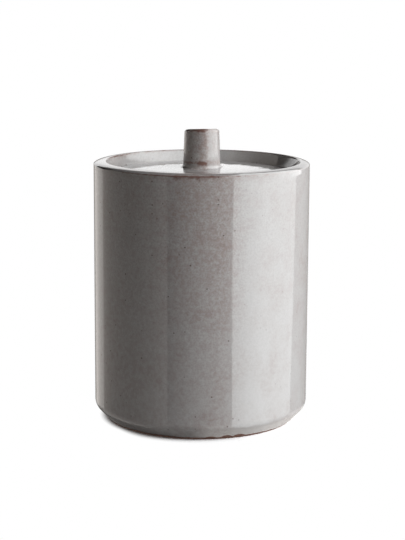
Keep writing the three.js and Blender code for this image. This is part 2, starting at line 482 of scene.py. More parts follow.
def corner_arc(before, corner, after, rounding):
    """Points of an arc that rounds the corner between the lines from before and to after.

    An arc of radius q starts q / tan(half the corner's angle) before the corner and ends as far after it.
    Its centre lies on the line that halves the corner."""
    back = (before - corner) / np.linalg.norm(before - corner)
    ahead = (after - corner) / np.linalg.norm(after - corner)
    half = math.acos(float(back @ ahead)) / 2
    middle = (back + ahead) / np.linalg.norm(back + ahead)
    centre = corner + middle * rounding / math.sin(half)
    first = corner + back * rounding / math.tan(half) - centre
    last = corner + ahead * rounding / math.tan(half) - centre
    start = math.atan2(first[1], first[0])
    turn = (math.atan2(last[1], last[0]) - start + math.pi) % (2 * math.pi) - math.pi
    angle = start + turn * np.linspace(0, 1, ARC_POINTS)
    return centre + rounding * np.stack([np.cos(angle), np.sin(angle)], axis=-1)


def rounded_outline(corners, step=LINE_STEP):
    """Points along lines through corners of (radius, height, rounding), with arcs at the rounded ones.

    A straight stretch is split into equal parts no longer than step. After the last corner comes the first
    again, which matters if the last one is rounded."""
    places = [np.array(corner[:2], dtype=float) for corner in corners]
    outline = []
    for number, corner in enumerate(corners):
        bend = places[number][None, :]
        if len(corner) > 2:
            after = places[(number + 1) % len(places)]
            bend = corner_arc(places[number - 1], places[number], after, corner[2])
        if outline:
            last = outline[-1][-1]
            parts = max(1, math.ceil(np.linalg.norm(bend[0] - last) / step))
            share = np.linspace(0, 1, parts + 1)[1:-1, None]
            outline.append(last + share * (bend[0] - last))
        outline.append(bend)
    return np.concatenate(outline)


def outline_normals(outline):
    """Unit normals of an outline in the (radius, height) plane, to the right of its direction of travel."""
    along = np.gradient(outline, axis=0)
    across = np.stack([along[:, 1], -along[:, 0]], axis=-1)
    return across / np.linalg.norm(across, axis=1, keepdims=True)


print("Outline helpers ready")

# %% [markdown]
# Turning an outline about the upright axis gives the piece, as a wheel does with clay. Blender's Screw
# modifier turns outlines too, but the waves, the drips and the thickness of the glaze have to act on the
# turned points. So the turned grid is kept as an array until it is finished, and numbers that the glaze
# needs are stored with it.

# %% Turning
def turned(outline, sides):
    """Carries an outline round the upright axis: x = r cos(a), y = r sin(a), z = h for each angle a."""
    angle = np.arange(sides) * 2 * np.pi / sides
    radius = outline[:, :1]
    height = np.repeat(outline[:, 1:], sides, axis=1)
    return np.stack([radius * np.cos(angle), radius * np.sin(angle), height], axis=-1)


def turned_object(name, grid, material, ring=False):
    """A closed mesh of a turned grid.

    A ring's outline closes on itself. Any other outline starts and ends on the axis, where all points of the
    first and last rows fall together, so each of those rows becomes one pole with a fan of triangles."""
    sides = grid.shape[1]
    body = grid if ring else grid[1:-1]
    number = np.arange(body.shape[0] * sides).reshape(-1, sides)
    around = np.concatenate([number, number[:, :1]], axis=1)
    if ring:
        faces = grid_cells(np.concatenate([around, around[:1]])).tolist()
        return mesh_object(name, body, faces, material)
    first_pole, last_pole = number.size, number.size + 1
    low = np.stack([np.full(sides, first_pole), around[0, 1:], around[0, :-1]], axis=-1)
    high = np.stack([around[-1, :-1], around[-1, 1:], np.full(sides, last_pole)], axis=-1)
    points = np.concatenate([body.reshape(-1, 3), grid[:1, 0], grid[-1:, 0]])
    return mesh_object(name, points, grid_cells(around).tolist() + low.tolist() + high.tolist(), material)


def spread_attribute(piece, grid, name, values):
    """Stores one number per point of a piece with poles as an attribute that a material can read.

    The values are one per point of its grid, one per row in a single column, or one for all."""
    full = np.broadcast_to(values, grid.shape[:2])
    flat = np.concatenate([full[1:-1].ravel(), full[:1, 0], full[-1:, 0]])
    stored = piece.data.attributes.new(name, "FLOAT", "POINT")
    stored.data.foreach_set("value", flat.astype(np.float32))


def azimuth_of(points):
    """Degrees round the upright axis, from the front (-Y) towards the right (+X)."""
    return np.degrees(np.arctan2(points[..., 0], -points[..., 1]))


print("Turning helpers ready")

# %% [markdown]
# No handmade wall is exactly round. Its slow waves come from the potter's hands and the drying clay, and
# its quick faint ripples from the glaze. Noise on the angle would show a seam where the circle closes.
# Sums of plane waves in space close round the jar by themselves. The surface is only ever moved inwards,
# so that the piece stays within the frame's box.

# %% Handmade unevenness
WAVE_COUNT = 32
SLOW_WAVES = (0.030 * MM, 60 * MM, 150 * MM)
QUICK_RIPPLES = (0.0025 * MM, 9 * MM, 22 * MM)


def plane_waves(points, shortest, longest, seed):
    """Sum of cosine waves through space in seeded directions, with lengths from shortest to longest.

    It is divided by the root of half their number, so that its usual swing (root mean square) is 1."""
    draw = np.random.default_rng(seed)
    heading_to = draw.normal(size=(WAVE_COUNT, 3))
    heading_to /= np.linalg.norm(heading_to, axis=1, keepdims=True)
    length = draw.uniform(shortest, longest, WAVE_COUNT)
    phase = draw.uniform(0, 2 * np.pi, WAVE_COUNT)
    pull = heading_to * (2 * np.pi / length)[:, None]
    return np.cos(points @ pull.T + phase).sum(axis=-1) / math.sqrt(WAVE_COUNT / 2)


def worked_by_hand(grid, normals, waves, seed):
    """Moves a turned grid inwards along its normals by waves of (depth, shortest, longest).

    Each wave is lowered by its own maximum, so it never points outwards. The poles stay."""
    angle = np.arange(grid.shape[1]) * 2 * np.pi / grid.shape[1]
    across = normals[:, :1]
    upwards = np.broadcast_to(normals[:, 1:], grid.shape[:2])
    facing = np.stack([across * np.cos(angle), across * np.sin(angle), upwards], axis=-1)
    shift = np.zeros(grid.shape[:2])
    for order, (depth, shortest, longest) in enumerate(waves):
        wave = plane_waves(grid, shortest, longest, seed + order)
        shift += depth * (wave - wave.max())
    moved = grid + shift[..., None] * facing
    moved[0] = grid[0]
    moved[-1] = grid[-1]
    return moved


print("Slow waves of about", SLOW_WAVES[0] / MM, "mm, ripples of about", QUICK_RIPPLES[0] / MM, "mm")

# %% [markdown]
# Both finishes need fine patterns of a known size in millimetres. An image texture could carry them, but
# it would blur when looked at closely and show a seam. Noise that is worked out from the place in space
# does neither. What depends on the piece, such as where the glaze is thin, comes from its attributes.

# %% Helpers for finishes
def millimetres(tree):
    """Object coordinates counted in millimetres."""
    place = add_node(tree, "ShaderNodeTexCoord").outputs["Object"]
    scale = (1 / MM, 1 / MM, 1 / MM)
    return add_node(tree, "ShaderNodeMapping", {"Vector": place, "Scale": scale}).outputs["Vector"]


def noise(tree, place, size, detail=2.0, roughness=0.5, offset=0.0):
    """Noise whose largest lumps are about size millimetres across, taken offset millimetres away."""
    moved = add_node(tree, "ShaderNodeVectorMath", {0: place, 1: (offset, offset, offset)}, operation="ADD")
    sockets = {"Vector": moved.outputs[0], "Scale": 1 / size, "Detail": detail, "Roughness": roughness}
    return add_node(tree, "ShaderNodeTexNoise", sockets).outputs["Fac"]


def attribute(tree, name):
    """A number that is stored at the points of the piece, or 0 where the piece has none of that name."""
    return add_node(tree, "ShaderNodeAttribute", attribute_name=name).outputs["Fac"]


print("Finish helpers ready")

# %% [markdown]
# The glaze is a warm grey glass over red clay. Seen closely it is clouded with fine grains, pale and deep.
# Where it has gathered, it is paler. Two textures could be mixed, one for each kind of grain. One noise that
# swings about its middle gives both, and each piece says how strong the swing is. On the jar and the knob
# the swing is weaker where the soft box is mirrored, a painted sheen that washes the grains out.

# %% Glaze: grains
GLAZE_GREY = (0.418, 0.403, 0.393, 1)
GLAZE_PALE = (0.512, 0.500, 0.490, 1)
GLAZE_DEEP = (0.322, 0.303, 0.291, 1)
GRAIN_NOISE = {"size": 0.95, "roughness": 0.6}
GRAIN_MIDDLE = 0.5
GRAIN_DEEP_SWING = -0.17
GRAIN_PALE_SWING = 0.20


def grain_colour(tree, grains):
    """Grey that goes to the deep tone where the grains swing low and to the pale one where they swing high.

    The gathered share of the glaze then goes to the pale tone."""
    swing = calculate(tree, "SUBTRACT", grains, GRAIN_MIDDLE)
    swing = calculate(tree, "MULTIPLY", swing, attribute(tree, "grain"))
    colour = mix_colours(tree, stretch(tree, swing, GRAIN_DEEP_SWING, 0.0), GLAZE_DEEP, GLAZE_GREY)
    colour = mix_colours(tree, stretch(tree, swing, 0.0, GRAIN_PALE_SWING), colour, GLAZE_PALE)
    return mix_colours(tree, attribute(tree, "gathered"), colour, GLAZE_PALE)


print("Glaze grains of", GRAIN_NOISE["size"], "mm")

# %% [markdown]
# Where the glaze ran thin, the clay shows through it in faint brown clouds, and on edges it breaks to
# red-brown. Brown could be painted along the edges as a plain line, but real glaze breaks raggedly. So the
# thinness is roughened by noise before it is cut off. On the jar and the knob the thinness also holds
# painted shade, so that the same brown lies heavier on the side away from the light.

# %% Glaze: brown clouds, broken edges and painted shade
CLOUD_BROWN = (0.300, 0.228, 0.204, 1)
BREAK_BROWN = (0.175, 0.103, 0.086, 1)
STREAK_NOISE = {"size": 14.0, "detail": 4.0, "roughness": 0.6, "offset": 40.0}
STREAK_SPAN = (0.42, 0.72)
STREAK_SHARE = 0.35
THIN_FULL = 0.3
THIN_SHARE = 0.5
MOTTLE_NOISE = {"size": 2.4, "detail": 3.0, "offset": -25.0}
MOTTLE_SPAN = (0.35, 0.65)
MOTTLE_LEAST = 0.35
NOISE_SPAN = (0.3, 0.7)
RAGGED_NOISE = {"size": 3.0, "detail": 3.0, "offset": 12.0}
RAGGED_SWING = 0.22
BREAK_SPAN = (0.45, 0.95)


def cloud_share(tree, place, thin_and_shade):
    """How much brown shows through: broad streaks plus a share for thin glaze, times a finer mottle.

    The share for thin glaze also carries painted shade on the jar and the knob.
    """
    streaks = stretch(tree, noise(tree, place, **STREAK_NOISE), *STREAK_SPAN, 0.0, STREAK_SHARE)
    thinner = stretch(tree, thin_and_shade, 0.0, THIN_FULL, 0.0, THIN_SHARE)
    mottle = stretch(tree, noise(tree, place, **MOTTLE_NOISE), *MOTTLE_SPAN, MOTTLE_LEAST, 1.0)
    return calculate(tree, "MULTIPLY", calculate(tree, "ADD", streaks, thinner), mottle)


def break_share(tree, place, thin_and_shade):
    """How far the glaze has broken: an S curve over its thinness and painted shade plus a ragged swing."""
    ragged = stretch(tree, noise(tree, place, **RAGGED_NOISE), *NOISE_SPAN, -RAGGED_SWING, RAGGED_SWING)
    return stretch(tree, calculate(tree, "ADD", thin_and_shade, ragged), *BREAK_SPAN, smooth=True)


print("Glaze breaks from a thinness of", BREAK_SPAN[0])

# %% [markdown]
# A few dark iron specks are scattered in the glaze. Little discs on the surface would stand proud of it. A
# cell pattern in space has one centre per cell, so the surface near some of the centres is darkened
# instead.

# %% Glaze: iron specks
SPECK_BROWN = (0.075, 0.045, 0.036, 1)
SPECK_CELL = 2.9
SPECK_RADIUS = 0.62
SPECK_CORE = 0.35
SPECK_PICKED = 0.11
SPECK_GRAIN_SPAN = (0.3, 0.8)
SPECK_SHARES = (0.2, 0.75)


def speck_share(tree, place):
    """Round dots: 1 near a picked cell centre, 0 from the speck's radius on, and fainter with less grain.

    Less grain also stands for the painted sheen where the soft box is mirrored, so specks fade there too.
    """
    cells = add_node(tree, "ShaderNodeTexVoronoi", {"Vector": place, "Scale": 1 / SPECK_CELL}, feature="F1")
    reach = SPECK_RADIUS / SPECK_CELL
    near = stretch(tree, cells.outputs["Distance"], SPECK_CORE * reach, reach, 1.0, 0.0, smooth=True)
    draw = add_node(tree, "ShaderNodeSeparateColor", {0: cells.outputs["Color"]}).outputs[0]
    picked = calculate(tree, "LESS_THAN", draw, SPECK_PICKED)
    strength = stretch(tree, attribute(tree, "grain"), *SPECK_GRAIN_SPAN, *SPECK_SHARES)
    return calculate(tree, "MULTIPLY", calculate(tree, "MULTIPLY", near, picked), strength)


print("Specks of up to", 2 * SPECK_RADIUS, "mm")

# %% [markdown]
# The layers are laid over each other as they lie in the glaze: grains, clouds, broken edges, specks, and
# last the bare red clay where the piece says so. A fired glaze is glass, so its index of refraction is
# that of glass and it is nearly smooth, with the slight unevenness of an orange's peel.

# %% Glaze: the whole
CLAY_RED = (0.240, 0.130, 0.095, 1)
GLAZE_IOR = 1.5
GLAZE_ROUGHNESS = (0.045, 0.075)
BARE_ROUGHNESS = 0.85
PEEL_NOISE = {"size": 5.0, "offset": 7.0}
PEEL_DEPTH = 0.004 * MM


def glaze_material():
    """Layers of colour, each mixed over the last by its share, on a smooth shader with small ripples."""
    material, tree, output = empty_material("grey_glaze")
    place = millimetres(tree)
    thin_and_shade = attribute(tree, "thin_glaze_and_shade")
    bare = attribute(tree, "bare")
    grains = noise(tree, place, **GRAIN_NOISE)
    colour = grain_colour(tree, grains)
    colour = mix_colours(tree, cloud_share(tree, place, thin_and_shade), colour, CLOUD_BROWN)
    colour = mix_colours(tree, break_share(tree, place, thin_and_shade), colour, BREAK_BROWN)
    colour = mix_colours(tree, speck_share(tree, place), colour, SPECK_BROWN)
    colour = mix_colours(tree, bare, colour, CLAY_RED)
    roughness = stretch(tree, grains, *NOISE_SPAN, *GLAZE_ROUGHNESS)
    roughness = mix_levels(tree, bare, roughness, BARE_ROUGHNESS)
    peel = noise(tree, place, **PEEL_NOISE)
    bump = add_node(tree, "ShaderNodeBump", {"Height": peel, "Strength": 1.0, "Distance": PEEL_DEPTH})
    sockets = {"Base Color": colour, "Roughness": roughness, "IOR": GLAZE_IOR, "Normal": bump.outputs[0]}
    shader = add_node(tree, "ShaderNodeBsdfPrincipled", sockets)
    tree.links.new(shader.outputs[0], output.inputs["Surface"])
    return material


grey_glaze = glaze_material()
print("Glaze with", len(grey_glaze.node_tree.nodes), "nodes")

# %% [markdown]
# Bare clay shows at the foot and on the ledge under the lid, where glaze would stick to what it touches in
# the kiln. It is red, matt and grainy. One flat red would look like paint, so two noises give it darker
# patches and pale grit, and the finer one also makes the surface sandy.

# %% Bare clay
CLAY_DARK = (0.115, 0.052, 0.036, 1)
CLAY_GRIT = (0.480, 0.330, 0.250, 1)
PATCH_NOISE = {"size": 6.0, "detail": 4.0, "roughness": 0.6}
PATCH_SPAN = (0.35, 0.65)
SAND_NOISE = {"size": 0.7, "detail": 3.0, "roughness": 0.7, "offset": 9.0}
GRIT_SPAN = (0.62, 0.75)
GRIT_SHARE = 0.6
SAND_STRENGTH = 0.8
SAND_DEPTH = 0.15 * MM
CLAY_ROUGHNESS = (0.75, 0.95)


def clay_material():
    """Red clay with darker patches, pale grit and a sandy surface."""
    material, tree, output = empty_material("bare_clay")
    place = millimetres(tree)
    patches = noise(tree, place, **PATCH_NOISE)
    sand = noise(tree, place, **SAND_NOISE)
    colour = mix_colours(tree, stretch(tree, patches, *PATCH_SPAN), CLAY_DARK, CLAY_RED)
    colour = mix_colours(tree, stretch(tree, sand, *GRIT_SPAN, 0.0, GRIT_SHARE), colour, CLAY_GRIT)
    bump_sockets = {"Height": sand, "Strength": SAND_STRENGTH, "Distance": SAND_DEPTH}
    bump = add_node(tree, "ShaderNodeBump", bump_sockets)
    roughness = stretch(tree, patches, *NOISE_SPAN, *CLAY_ROUGHNESS)
    sockets = {"Base Color": colour, "Roughness": roughness, "Normal": bump.outputs[0]}
    shader = add_node(tree, "ShaderNodeBsdfPrincipled", sockets)
    tree.links.new(shader.outputs[0], output.inputs["Surface"])
    return material


bare_clay = clay_material()
print("Clay with", len(bare_clay.node_tree.nodes), "nodes")

# %% [markdown]
# Glaze runs away from sharp edges and gathers below them. Its thinness is a number at each point of a piece,
# about 0 where it lies thickly and 1 where it has run off. It could be painted by hand as vertex colours.
# Here it is worked out, highest at the named edges and fading with the distance from them, with broad
# patches, thin or thick, added by angle and height. On the jar and the knob a share by angle is painted
# shade, not thin glaze.

# %% Where the glaze is thin
def thin_along(outline, edges):
    """Sum of strength * exp(-(distance / width)^2) over edges of (radius, height, width, strength)."""
    total = np.zeros(len(outline))
    for radius, height, width, strength in edges:
        distance = np.hypot(outline[:, 0] - radius, outline[:, 1] - height)
        total += strength * np.exp(-((distance / width) ** 2))
    return total


def thin_patches(grid, patches):
    """Sum of soft ovals of (azimuth, height, half width, half height, strength), with angles in degrees.

    Each is strength * exp(-(aside / half width)^2 - (above / half height)^2)."""
    total = np.zeros(grid.shape[:2])
    for middle, height, width, tall, strength in patches:
        aside = (azimuth_of(grid) - middle + 180) % 360 - 180
        total += strength * np.exp(-((aside / width) ** 2) - ((grid[..., 2] - height) / tall) ** 2)
    return total


print("Thin-glaze helpers ready")

# %% [markdown]
# The jar is thrown or pressed as a straight cylinder. Its rim is crowned: from the outer edge it rises as
# a quarter of an ellipse, because wet clay and glaze soften the edge outwards. Two small arcs would leave
# a flat between them, which the mirrored ceiling would show as a band. Inside, the mouth flares a little,
# which lets the far wall mirror the soft box over the near rim.

# %% Jar: rim and mouth
WALL_THICKNESS = 7.8 * MM
WALL_INSET = 0.35 * MM
MOUTH_INSET = 0.35 * MM
RIM_FALL = 1.8 * MM
RIM_POINTS = 22
MOUTH_FLARE = 1.55 * MM
FLARE_HEIGHT = 6.4 * MM
FLARE_POWER = 1.1
FLARE_POINTS = 15
FLARE_SKIPPED = 2

wall_radius = JAR_RADIUS - WALL_INSET
mouth_radius = JAR_RADIUS - WALL_THICKNESS - MOUTH_INSET
rim_inner = mouth_radius + MOUTH_FLARE
rim_width = wall_radius - rim_inner

rim_turn = np.linspace(0, math.pi / 2, RIM_POINTS)
rim_radius = rim_inner + rim_width * np.cos(rim_turn)
rim_height = RIM_HEIGHT - RIM_FALL * (1 - np.sin(rim_turn))
rim_crown = list(zip(rim_radius, rim_height))

# The crown ends where the flare starts. Leaving out the flare's first points keeps that edge a little soft.
flare_share = np.linspace(1, 0, FLARE_POINTS)[FLARE_SKIPPED:]
flare_radius = mouth_radius + MOUTH_FLARE * flare_share**FLARE_POWER
flare_height = RIM_HEIGHT - FLARE_HEIGHT * (1 - flare_share)
mouth_flare = list(zip(flare_radius, flare_height))
print("Rim", round(rim_width / MM, 2), "mm wide, mouth", round(2 * rim_inner / MM, 1), "mm across")

# %% [markdown]
# Below, a bevel lifts the jar off the table, and the glaze ends there in a thick lip just above the clay.
# The whole outline runs from under the glaze up the bevel and the wall, over the rim and down inside to
# the floor. It is made in three stretches, so that the points lie close where the shape is fine and far
# apart where it is plain.

# %% Jar: bevel and outline
BEVEL_HEIGHT = 7.5 * MM
BEVEL_INSET = 7.5 * MM
BEVEL_ROUND = 6.0 * MM
GLAZE_LINE = 1.2 * MM
GLAZE_LIP_ROUND = 0.2 * MM
GLAZE_THICKNESS = 0.45 * MM
LIP_TUCK = 1.35 * MM
HIDDEN_UNDERSIDE = 3.0 * MM
WALL_START = 14.0 * MM
FLOOR_FILLET = 4.0 * MM
BEVEL_STEP = 0.7 * MM
WALL_STEP = 3.0 * MM
INSIDE_STEP = 12.0 * MM

foot_radius = JAR_RADIUS - BEVEL_INSET
bevel_run = wall_radius - foot_radius
bevel_slope = bevel_run / BEVEL_HEIGHT
lip_radius = foot_radius + GLAZE_LINE * bevel_slope
bevel_corners = [
    (lip_radius - LIP_TUCK, HIDDEN_UNDERSIDE),
    (lip_radius - GLAZE_THICKNESS, GLAZE_LINE),
    (lip_radius, GLAZE_LINE, GLAZE_LIP_ROUND),
    (wall_radius, BEVEL_HEIGHT, BEVEL_ROUND),
    (wall_radius, WALL_START),
]
wall_corners = [(wall_radius, WALL_START), *rim_crown, *mouth_flare]
inside_corners = [mouth_flare[-1], (mouth_radius, FLOOR_TOP, FLOOR_FILLET), (0, FLOOR_TOP)]
bevel_outline = rounded_outline(bevel_corners, BEVEL_STEP)
wall_outline = rounded_outline(wall_corners, WALL_STEP)
inside_outline = rounded_outline(inside_corners, INSIDE_STEP)
underside = [(0, HIDDEN_UNDERSIDE)]
jar_outline = np.concatenate([underside, bevel_outline, wall_outline[1:], inside_outline[1:]])
print("Jar:", len(jar_outline), "points in the outline")

# %% [markdown]
# The turned jar gets its slow waves and ripples. Its mouth was trimmed a little off centre, so one side of
# the rim is wider than the other. Turning the mouth about an axis of its own would tear it from the wall,
# so the shift grows across the rim and fades again down the flare.

# %% Jar: turned and worked by hand
JAR_SIDES = 640
JAR_SEED = 3
MOUTH_SHIFT = 0.9 * MM

jar_grid = turned(jar_outline, JAR_SIDES)
jar_grid = worked_by_hand(jar_grid, outline_normals(jar_outline), [SLOW_WAVES, QUICK_RIPPLES], JAR_SEED)
across_rim = np.clip((wall_radius - jar_outline[:, 0]) / rim_width, 0, 1)
down_mouth = np.clip((jar_outline[:, 1] - RIM_HEIGHT + FLARE_HEIGHT) / FLARE_HEIGHT, 0, 1)
jar_grid[..., 0] += MOUTH_SHIFT * (across_rim * down_mouth)[:, None]
rim_widths = [round((rim_width + side * MOUTH_SHIFT) / MM, 2) for side in (-1, 1)]
print("Rim from", rim_widths[0], "to", rim_widths[1], "mm wide")

# %% [markdown]
# The potter wipes the glaze off the foot with a sponge, and what is left runs a little in the kiln. So its
# lower edge is ragged, with a few scallops where red clay shows. Cutting the mesh along such a line would
# be hard. Instead the points near the lip slide up or down the bevel, and the bare foot behind it comes
# into view.

# %% Jar: ragged end of the glaze
LIP_SEED = 31
LIP_REACH = 3.2 * MM
LIP_FADE_POWER = 0.7
LIP_RAGGED = (0.11 * MM, 2.5 * MM, 9 * MM)
LIP_SCALLOPS = [
    (6.1, 3.2, 1.3 * MM),
    (15.2, 3.7, 1.8 * MM),
    (23.0, 3.9, 1.7 * MM),
    (-38, 4.5, 0.5 * MM),
    (72, 38, -0.8 * MM),
]


def lip_slide(ring):
    """How far the lip slides up the bevel at each point of a level ring.

    It is a ragged wave plus scallops of (azimuth, half width, depth), whose depth falls from the middle as
    1 - (offset / half width)^2."""
    depth, shortest, longest = LIP_RAGGED
    slide = depth * plane_waves(ring, shortest, longest, LIP_SEED)
    for middle, half_width, deep in LIP_SCALLOPS:
        slide += deep * np.clip(1 - ((azimuth_of(ring) - middle) / half_width) ** 2, 0, None)
    return slide


def ragged_lip(grid, outline):
    """Slides the end of the glaze along the bevel, less and less with the distance from the lip.

    The share is (1 - distance / reach)^power on the bevel and 0 elsewhere. Points on the axis have no way
    outwards, so the radius that divides is kept at 1 mm or more."""
    ring = grid[1] * np.array([1, 1, 0])
    from_lip = np.hypot(outline[:, 0] - lip_radius, outline[:, 1] - GLAZE_LINE)
    on_bevel = np.arange(len(outline)) < len(bevel_outline)
    near = np.clip(1 - from_lip / LIP_REACH, 0, 1) ** LIP_FADE_POWER * on_bevel
    shift = near[:, None] * lip_slide(ring)
    up_bevel = np.array([bevel_run, BEVEL_HEIGHT]) / math.hypot(bevel_run, BEVEL_HEIGHT)
    outwards = grid[..., :2] / np.maximum(np.linalg.norm(grid[..., :2], axis=-1, keepdims=True), MM)
    moved = grid.copy()
    moved[..., :2] += (shift * up_bevel[0])[..., None] * outwards
    moved[..., 2] += shift * up_bevel[1]
    return moved


jar_grid = ragged_lip(jar_grid, jar_outline)
jar = turned_object("glazed_jar", jar_grid, grey_glaze)
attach(jar, "jar")
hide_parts("jar_wall")
print("Jar:", len(jar.data.polygons), "faces")

# %% [markdown]
# The jar's glaze is thin along the rim and the lip, and in a few broad clouds on the wall. The edges'
# strength wanders, so that the brown line comes and goes. On top of that, brown is laid on as painted shade
# at the left and in front, on the side away from the light, and held back at the right, where the soft box
# is mirrored and the lamp falls. Glaze runs down while it melts, so it gathers towards the foot. Inside the
# mouth it lies thickly.

# %% Jar: thickness of the glaze and painted shade
EDGE_SEED = 41
EDGE_WANDER = (5 * MM, 24 * MM)
EDGE_MEAN = 0.9
EDGE_SWING = 0.2
EDGE_LIMITS = (0.4, 1.3)
JAR_EDGES = [
    (wall_radius - 0.15 * MM, RIM_HEIGHT - 1.35 * MM, 0.50 * MM, 0.70),
    (rim_inner + 0.2 * MM, RIM_HEIGHT - 0.2 * MM, 0.7 * MM, 0.68),
    (lip_radius, GLAZE_LINE, 0.7 * MM, 0.6),
]
JAR_PATCHES = [
    (4, RIM_HEIGHT - 1.35 * MM, 24, 0.6 * MM, 0.36),
    (68, RIM_HEIGHT - 1.2 * MM, 38, 1.8 * MM, -0.5),
    (-116, RIM_HEIGHT - 0.8 * MM, 14, 1.4 * MM, 0.45),
    (75, GLAZE_LINE, 38, 1.5 * MM, -0.5),
    (2, 128 * MM, 16, 26 * MM, 0.18),
    (-8, 95 * MM, 14, 18 * MM, 0.05),
    (12, 92 * MM, 9, 10 * MM, 0.06),
    (68, 105 * MM, 12, 45 * MM, 0.02),
    (-55, 50 * MM, 18, 30 * MM, 0.05),
    (-106, RIM_HEIGHT - 3 * MM, 14, 4 * MM, 0.16),
]
# Levels by azimuth that add painted shade: more brown at the left and in front, none from where the soft box
# is mirrored.
THIN_AZIMUTHS = [-150, -60, -15, 12, 25, 110, 150]
THIN_AND_SHADE_LEVELS = [0.07, 0.19, 0.19, 0.19, 0.0, 0.0, 0.07]
# Grain strength by azimuth, lowered from where the soft box is mirrored: a painted sheen that calms the
# grains and specks.
GRAIN_AZIMUTHS = [-120, -60, -15, 10, 25, 120, 150]
GRAIN_AND_SHEEN_LEVELS = [0.8, 0.72, 0.88, 0.88, 0.30, 0.30, 0.8]
GATHERED_HEIGHTS = [10 * MM, 120 * MM]
GATHERED_LEVELS = [0.55, 0.0]
INSIDE_GATHERED = 0.55

wander = EDGE_MEAN + EDGE_SWING * plane_waves(jar_grid, *EDGE_WANDER, EDGE_SEED)
jar_edges = thin_along(jar_outline, JAR_EDGES)[:, None] * np.clip(wander, *EDGE_LIMITS)
jar_azimuth = azimuth_of(jar_grid)
inside = np.arange(len(jar_outline)) > np.argmax(jar_outline[:, 1])
# Painted shade by azimuth on the outside of the jar, added to the thin glaze.
jar_side_shade = np.interp(jar_azimuth, THIN_AZIMUTHS, THIN_AND_SHADE_LEVELS) * ~inside[:, None]
jar_thin_and_shade = jar_edges + thin_patches(jar_grid, JAR_PATCHES) + jar_side_shade
run_down = np.interp(jar_outline[:, 1], GATHERED_HEIGHTS, GATHERED_LEVELS)
jar_gathered = np.where(inside, INSIDE_GATHERED, run_down)
spread_attribute(jar, jar_grid, "gathered", jar_gathered[:, None])
spread_attribute(jar, jar_grid, "thin_glaze_and_shade", jar_thin_and_shade)
spread_attribute(jar, jar_grid, "grain", np.interp(jar_azimuth, GRAIN_AZIMUTHS, GRAIN_AND_SHEEN_LEVELS))
print("Thinness on the jar from", round(jar_thin_and_shade.min(), 2), "to", round(jar_thin_and_shade.max(), 2))

# %% [markdown]
# Under the glaze the bottom slab is bare. A disc would do for the camera, but the part can be picked up
# and turned over. So the slab has its bevel, just behind the glaze's lip, and a shallow recess that leaves
# a ring to stand on. Its upper part is hidden in the jar.

# %% Clay foot
FOOT_RING_WIDTH = 7.0 * MM
FOOT_RECESS_DEPTH = 1.2 * MM
FOOT_RECESS_SLOPE = 1.5 * MM
FOOT_EDGE_ROUND = 0.5 * MM
FOOT_HIDDEN_TOP = 3.6 * MM
FOOT_BEHIND_GLAZE = 0.405 * MM

recess_radius = foot_radius - FOOT_RING_WIDTH
ring_radius = foot_radius - FOOT_BEHIND_GLAZE
foot_corners = [
    (0, FOOT_RECESS_DEPTH),
    (recess_radius - FOOT_RECESS_SLOPE, FOOT_RECESS_DEPTH, FOOT_EDGE_ROUND),
    (recess_radius, 0, FOOT_EDGE_ROUND),
    (ring_radius, 0, FOOT_EDGE_ROUND),
    (ring_radius + FOOT_HIDDEN_TOP * bevel_slope, FOOT_HIDDEN_TOP),
    (0, FOOT_HIDDEN_TOP),
]
foot = turned_object("clay_foot", turned(rounded_outline(foot_corners), JAR_SIDES), bare_clay)
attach(foot, "jar")
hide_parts("jar_base")
print("Foot:", len(foot.data.polygons), "faces")

# %% [markdown]
# A ledge inside the mouth carries the lid. It is a coil of clay pressed onto the wall, so its edges are
# soft and its underside tapers back to the wall. It is a ring of its own, sunk a little into the wall,
# because the wall is glazed and the ledge is bare.

# %% Lid seat
SEAT_LEDGE = 5.4 * MM
SEAT_THICKNESS = 5.0 * MM
SEAT_ROUND = 1.2 * MM
SEAT_SUNK = 0.4 * MM

seat_inner = mouth_radius + MOUTH_INSET - SEAT_LEDGE
seat_outer = SEAT_OUTER_RADIUS + SEAT_SUNK
seat_corners = [
    (seat_outer, SEAT_TOP - SEAT_THICKNESS - SEAT_LEDGE),
    (seat_outer, SEAT_TOP),
    (seat_inner, SEAT_TOP, SEAT_ROUND),
    (seat_inner, SEAT_TOP - SEAT_THICKNESS, SEAT_ROUND),
]
seat = turned_object("lid_ledge", turned(rounded_outline(seat_corners), JAR_SIDES), bare_clay, ring=True)
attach(seat, "jar")
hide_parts("lid_seat")
print("Seat:", len(seat.data.polygons), "faces")

# %% [markdown]
# The lid is a disc with a low dome, glazed on top and hollowed a little below, where the ring that rests
# on the ledge is bare. It lies at a grazing angle to the camera, so it mirrors the white sweep and the
# knob almost like water. An arc would curve evenly. The dome here is nearly flat in the middle and falls
# towards the edge, which is what the straight sides of the knob's mirror image show, and faint ripples
# stir that image.

# %% Lid
LID_SIDES = 288
LID_SEED = 11
LID_RISE = 2.5 * MM
LID_TOP_ROUND = 2.0 * MM
LID_BOTTOM_ROUND = 1.0 * MM
LID_REST_WIDTH = 4.6 * MM
LID_HOLLOW_DEPTH = 1.5 * MM
LID_HOLLOW_SLOPE = 2.0 * MM
LID_RIPPLES = (0.0100 * MM, 5 * MM, 14 * MM)
LID_BARE_HEIGHT = 0.4 * MM
LID_BARE_MARGIN = 0.3 * MM
DOME_POINTS = 48
DOME_POWER = 3.5

lid_edge_top = LID_CROWN - LID_RISE
hollow_radius = LID_RADIUS - LID_REST_WIDTH
hollow_top = SEAT_TOP + LID_HOLLOW_DEPTH
dome_foot = LID_RADIUS - LID_TOP_ROUND
lid_corners = [
    (0, hollow_top),
    (hollow_radius - LID_HOLLOW_SLOPE, hollow_top),
    (hollow_radius, SEAT_TOP),
    (LID_RADIUS, SEAT_TOP, LID_BOTTOM_ROUND),
    (LID_RADIUS, lid_edge_top, LID_TOP_ROUND),
    (dome_foot, lid_edge_top),
]

